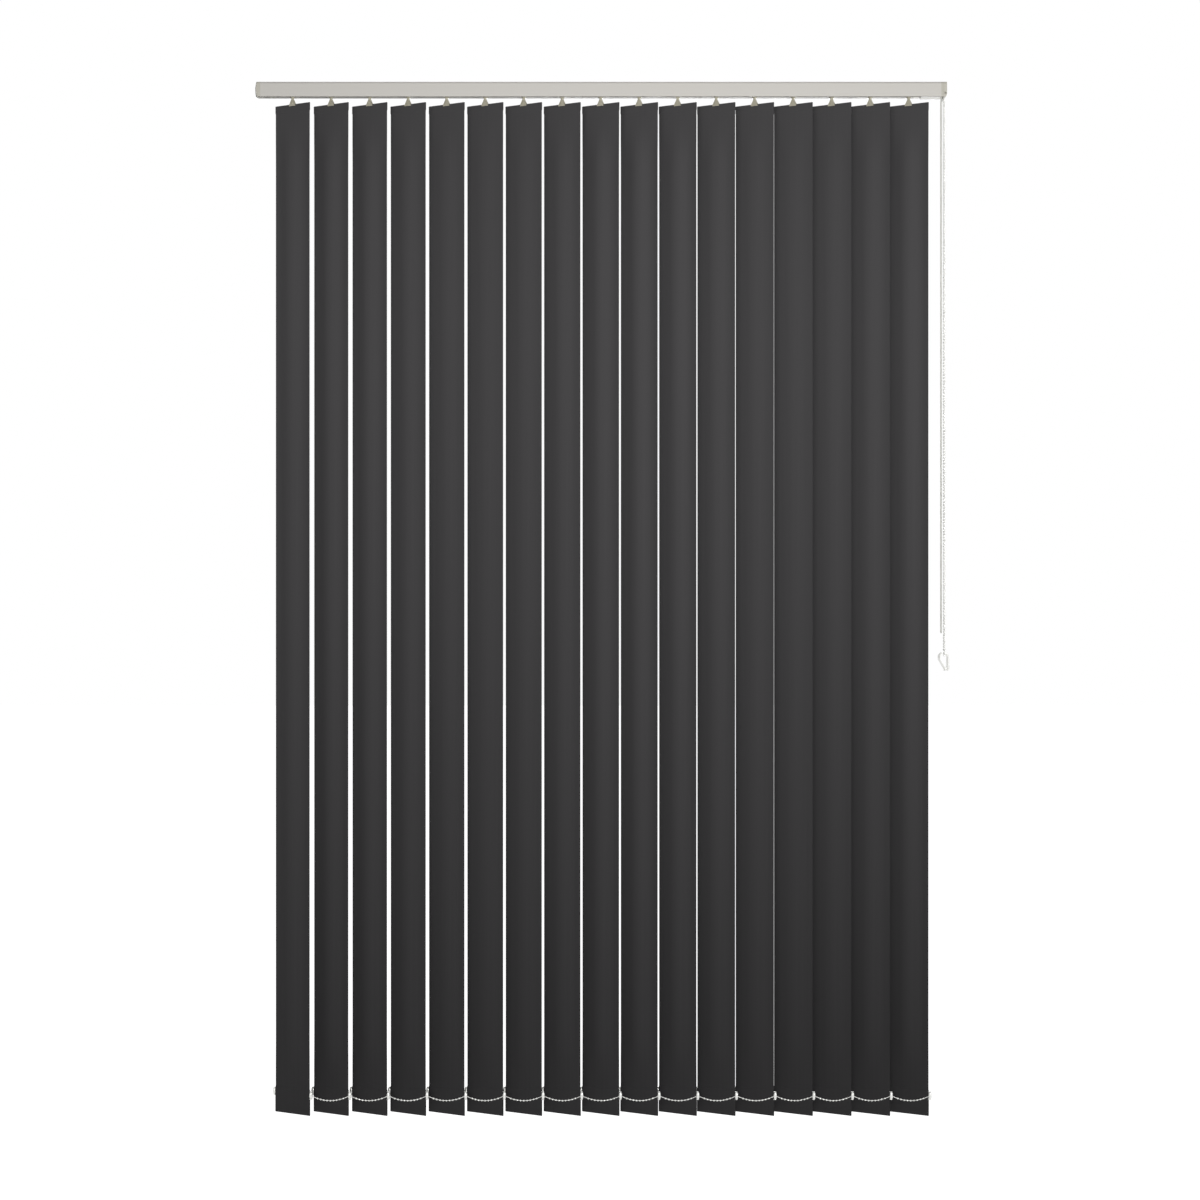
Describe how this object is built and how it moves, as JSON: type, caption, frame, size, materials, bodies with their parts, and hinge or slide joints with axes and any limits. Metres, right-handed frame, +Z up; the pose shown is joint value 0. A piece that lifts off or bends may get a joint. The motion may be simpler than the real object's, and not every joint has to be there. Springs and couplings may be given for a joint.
{
  "type": "vertical blind",
  "caption": "Vertical blind: dark fabric vanes hang from hooks in a slotted headrail, tilted by a bead chain and drawn aside by a cord, with beaded chains between their weighted hems.",
  "frame": {"origin": "on the ceiling plane, at the middle mounting clip's screw hole, above the middle vane", "axes": "+X along the headrail towards the control end, -Y towards the room, +Z up"},
  "size_m": [1.4071, 0.059, 2.0885],
  "materials": {
    "rail_aluminium": "satin silver-grey lacquered extrusion",
    "end_plastic": "moulded grey plastic",
    "clip_steel": "zinc-plated spring steel",
    "rod_aluminium": "plain grooved rod",
    "carrier_plastic": "moulded white plastic",
    "hook_plastic": "moulded beige-grey plastic",
    "vane_fabric": "dark grey coated weave",
    "chain_plastic": "moulded white plastic",
    "cord_braid": "light grey braided cord"
  },
  "bodies": {
    "rail": {"headrail": "rail_aluminium", "idle_end_cap": "end_plastic", "control_housing": "end_plastic", "mounting_clips": "clip_steel", "tilt_chain": "chain_plastic", "traverse_cord": "cord_braid", "cord_clip": "chain_plastic"},
    "rod": {"tilt_rod": "rod_aluminium"},
    "carriage_01": {"carrier_01": "carrier_plastic"},
    "carriage_02": {"carrier_02": "carrier_plastic"},
    "carriage_03": {"carrier_03": "carrier_plastic"},
    "carriage_04": {"carrier_04": "carrier_plastic"},
    "carriage_05": {"carrier_05": "carrier_plastic"},
    "carriage_06": {"carrier_06": "carrier_plastic"},
    "carriage_07": {"carrier_07": "carrier_plastic"},
    "carriage_08": {"carrier_08": "carrier_plastic"},
    "carriage_09": {"carrier_09": "carrier_plastic"},
    "carriage_10": {"carrier_10": "carrier_plastic"},
    "carriage_11": {"carrier_11": "carrier_plastic"},
    "carriage_12": {"carrier_12": "carrier_plastic"},
    "carriage_13": {"carrier_13": "carrier_plastic"},
    "carriage_14": {"carrier_14": "carrier_plastic"},
    "carriage_15": {"carrier_15": "carrier_plastic"},
    "carriage_16": {"carrier_16": "carrier_plastic"},
    "blade_01": {"hook_01": "hook_plastic", "vane_01": "vane_fabric"},
    "blade_02": {"hook_02": "hook_plastic", "vane_02": "vane_fabric"},
    "blade_03": {"hook_03": "hook_plastic", "vane_03": "vane_fabric"},
    "blade_04": {"hook_04": "hook_plastic", "vane_04": "vane_fabric"},
    "blade_05": {"hook_05": "hook_plastic", "vane_05": "vane_fabric"},
    "blade_06": {"hook_06": "hook_plastic", "vane_06": "vane_fabric"},
    "blade_07": {"hook_07": "hook_plastic", "vane_07": "vane_fabric"},
    "blade_08": {"hook_08": "hook_plastic", "vane_08": "vane_fabric"},
    "blade_09": {"hook_09": "hook_plastic", "vane_09": "vane_fabric"},
    "blade_10": {"hook_10": "hook_plastic", "vane_10": "vane_fabric"},
    "blade_11": {"hook_11": "hook_plastic", "vane_11": "vane_fabric"},
    "blade_12": {"hook_12": "hook_plastic", "vane_12": "vane_fabric"},
    "blade_13": {"hook_13": "hook_plastic", "vane_13": "vane_fabric"},
    "blade_14": {"hook_14": "hook_plastic", "vane_14": "vane_fabric"},
    "blade_15": {"hook_15": "hook_plastic", "vane_15": "vane_fabric"},
    "blade_16": {"hook_16": "hook_plastic", "vane_16": "vane_fabric"},
    "blade_17": {"hook_17": "hook_plastic", "vane_17": "vane_fabric"},
    "front_chain": {"front_bottom_chain": "chain_plastic"},
    "back_chain": {"back_bottom_chain": "chain_plastic"}
  },
  "joints": [
    {"name": "traverse", "type": "slide", "parent": "rail", "child": "carriage_01", "axis": [1, 0, 0], "range_m": [0, 0.944], "deforming": ["front_bottom_chain", "back_bottom_chain"]},
    {"name": "traverse_02", "type": "slide", "parent": "rail", "child": "carriage_02", "axis": [1, 0, 0], "range_m": [0, 0.885]},
    {"name": "traverse_03", "type": "slide", "parent": "rail", "child": "carriage_03", "axis": [1, 0, 0], "range_m": [0, 0.826]},
    {"name": "traverse_04", "type": "slide", "parent": "rail", "child": "carriage_04", "axis": [1, 0, 0], "range_m": [0, 0.767]},
    {"name": "traverse_05", "type": "slide", "parent": "rail", "child": "carriage_05", "axis": [1, 0, 0], "range_m": [0, 0.708]},
    {"name": "traverse_06", "type": "slide", "parent": "rail", "child": "carriage_06", "axis": [1, 0, 0], "range_m": [0, 0.649]},
    {"name": "traverse_07", "type": "slide", "parent": "rail", "child": "carriage_07", "axis": [1, 0, 0], "range_m": [0, 0.59]},
    {"name": "traverse_08", "type": "slide", "parent": "rail", "child": "carriage_08", "axis": [1, 0, 0], "range_m": [0, 0.531]},
    {"name": "traverse_09", "type": "slide", "parent": "rail", "child": "carriage_09", "axis": [1, 0, 0], "range_m": [0, 0.472]},
    {"name": "traverse_10", "type": "slide", "parent": "rail", "child": "carriage_10", "axis": [1, 0, 0], "range_m": [0, 0.413]},
    {"name": "traverse_11", "type": "slide", "parent": "rail", "child": "carriage_11", "axis": [1, 0, 0], "range_m": [0, 0.354]},
    {"name": "traverse_12", "type": "slide", "parent": "rail", "child": "carriage_12", "axis": [1, 0, 0], "range_m": [0, 0.295]},
    {"name": "traverse_13", "type": "slide", "parent": "rail", "child": "carriage_13", "axis": [1, 0, 0], "range_m": [0, 0.236]},
    {"name": "traverse_14", "type": "slide", "parent": "rail", "child": "carriage_14", "axis": [1, 0, 0], "range_m": [0, 0.177]},
    {"name": "traverse_15", "type": "slide", "parent": "rail", "child": "carriage_15", "axis": [1, 0, 0], "range_m": [0, 0.118]},
    {"name": "traverse_16", "type": "slide", "parent": "rail", "child": "carriage_16", "axis": [1, 0, 0], "range_m": [0, 0.059]},
    {"name": "tilt_01", "type": "hinge", "parent": "carriage_01", "child": "blade_01", "pos_m": [-0.624, 0, -0.03], "axis": [0, 0, -1], "range_deg": [-19.5, 132.5]},
    {"name": "tilt_02", "type": "hinge", "parent": "carriage_02", "child": "blade_02", "pos_m": [-0.546, 0, -0.03], "axis": [0, 0, -1], "range_deg": [-19.5, 132.5]},
    {"name": "tilt_03", "type": "hinge", "parent": "carriage_03", "child": "blade_03", "pos_m": [-0.468, 0, -0.03], "axis": [0, 0, -1], "range_deg": [-19.5, 132.5]},
    {"name": "tilt_04", "type": "hinge", "parent": "carriage_04", "child": "blade_04", "pos_m": [-0.39, 0, -0.03], "axis": [0, 0, -1], "range_deg": [-19.5, 132.5]},
    {"name": "tilt_05", "type": "hinge", "parent": "carriage_05", "child": "blade_05", "pos_m": [-0.312, 0, -0.03], "axis": [0, 0, -1], "range_deg": [-19.5, 132.5]},
    {"name": "tilt_06", "type": "hinge", "parent": "carriage_06", "child": "blade_06", "pos_m": [-0.234, 0, -0.03], "axis": [0, 0, -1], "range_deg": [-19.5, 132.5]},
    {"name": "tilt_07", "type": "hinge", "parent": "carriage_07", "child": "blade_07", "pos_m": [-0.156, 0, -0.03], "axis": [0, 0, -1], "range_deg": [-19.5, 132.5]},
    {"name": "tilt_08", "type": "hinge", "parent": "carriage_08", "child": "blade_08", "pos_m": [-0.078, 0, -0.03], "axis": [0, 0, -1], "range_deg": [-19.5, 132.5]},
    {"name": "tilt_09", "type": "hinge", "parent": "carriage_09", "child": "blade_09", "pos_m": [0, 0, -0.03], "axis": [0, 0, -1], "range_deg": [-19.5, 132.5]},
    {"name": "tilt_10", "type": "hinge", "parent": "carriage_10", "child": "blade_10", "pos_m": [0.078, 0, -0.03], "axis": [0, 0, -1], "range_deg": [-19.5, 132.5]},
    {"name": "tilt_11", "type": "hinge", "parent": "carriage_11", "child": "blade_11", "pos_m": [0.156, 0, -0.03], "axis": [0, 0, -1], "range_deg": [-19.5, 132.5]},
    {"name": "tilt_12", "type": "hinge", "parent": "carriage_12", "child": "blade_12", "pos_m": [0.234, 0, -0.03], "axis": [0, 0, -1], "range_deg": [-19.5, 132.5]},
    {"name": "tilt_13", "type": "hinge", "parent": "carriage_13", "child": "blade_13", "pos_m": [0.312, 0, -0.03], "axis": [0, 0, -1], "range_deg": [-19.5, 132.5]},
    {"name": "tilt_14", "type": "hinge", "parent": "carriage_14", "child": "blade_14", "pos_m": [0.39, 0, -0.03], "axis": [0, 0, -1], "range_deg": [-19.5, 132.5]},
    {"name": "tilt_15", "type": "hinge", "parent": "carriage_15", "child": "blade_15", "pos_m": [0.468, 0, -0.03], "axis": [0, 0, -1], "range_deg": [-19.5, 132.5]},
    {"name": "tilt_16", "type": "hinge", "parent": "carriage_16", "child": "blade_16", "pos_m": [0.546, 0, -0.03], "axis": [0, 0, -1], "range_deg": [-19.5, 132.5]},
    {"name": "tilt", "type": "hinge", "parent": "rail", "child": "blade_17", "pos_m": [0.624, 0, -0.03], "axis": [0, 0, -1], "range_deg": [-19.5, 132.5]},
    {"name": "rod_turn", "type": "hinge", "parent": "rail", "child": "rod", "pos_m": [0, 0.0087, -0.013], "axis": [1, 0, 0], "range_deg": [-234, 1590]},
    {"name": "front_chain_swing", "type": "hinge", "parent": "blade_17", "child": "front_chain", "pos_m": [0.66403, -0.02649, -2.047], "axis": [0, 0, -1], "range_deg": [-132.5, 19.5]},
    {"name": "back_chain_swing", "type": "hinge", "parent": "blade_17", "child": "back_chain", "pos_m": [0.58397, 0.02649, -2.047], "axis": [0, 0, -1], "range_deg": [-132.5, 19.5]}
  ],
  "couplings": [
    {"joint": "traverse_02", "follows": "traverse", "ratio": 0.9375},
    {"joint": "traverse_03", "follows": "traverse", "ratio": 0.875},
    {"joint": "traverse_04", "follows": "traverse", "ratio": 0.8125},
    {"joint": "traverse_05", "follows": "traverse", "ratio": 0.75},
    {"joint": "traverse_06", "follows": "traverse", "ratio": 0.6875},
    {"joint": "traverse_07", "follows": "traverse", "ratio": 0.625},
    {"joint": "traverse_08", "follows": "traverse", "ratio": 0.5625},
    {"joint": "traverse_09", "follows": "traverse", "ratio": 0.5},
    {"joint": "traverse_10", "follows": "traverse", "ratio": 0.4375},
    {"joint": "traverse_11", "follows": "traverse", "ratio": 0.375},
    {"joint": "traverse_12", "follows": "traverse", "ratio": 0.3125},
    {"joint": "traverse_13", "follows": "traverse", "ratio": 0.25},
    {"joint": "traverse_14", "follows": "traverse", "ratio": 0.1875},
    {"joint": "traverse_15", "follows": "traverse", "ratio": 0.125},
    {"joint": "traverse_16", "follows": "traverse", "ratio": 0.0625},
    {"joint": "tilt_01", "follows": "tilt", "ratio": 1},
    {"joint": "tilt_02", "follows": "tilt", "ratio": 1},
    {"joint": "tilt_03", "follows": "tilt", "ratio": 1},
    {"joint": "tilt_04", "follows": "tilt", "ratio": 1},
    {"joint": "tilt_05", "follows": "tilt", "ratio": 1},
    {"joint": "tilt_06", "follows": "tilt", "ratio": 1},
    {"joint": "tilt_07", "follows": "tilt", "ratio": 1},
    {"joint": "tilt_08", "follows": "tilt", "ratio": 1},
    {"joint": "tilt_09", "follows": "tilt", "ratio": 1},
    {"joint": "tilt_10", "follows": "tilt", "ratio": 1},
    {"joint": "tilt_11", "follows": "tilt", "ratio": 1},
    {"joint": "tilt_12", "follows": "tilt", "ratio": 1},
    {"joint": "tilt_13", "follows": "tilt", "ratio": 1},
    {"joint": "tilt_14", "follows": "tilt", "ratio": 1},
    {"joint": "tilt_15", "follows": "tilt", "ratio": 1},
    {"joint": "tilt_16", "follows": "tilt", "ratio": 1},
    {"joint": "rod_turn", "follows": "tilt", "ratio": 12},
    {"joint": "front_chain_swing", "follows": "tilt", "ratio": -1},
    {"joint": "back_chain_swing", "follows": "tilt", "ratio": -1}
  ]
}
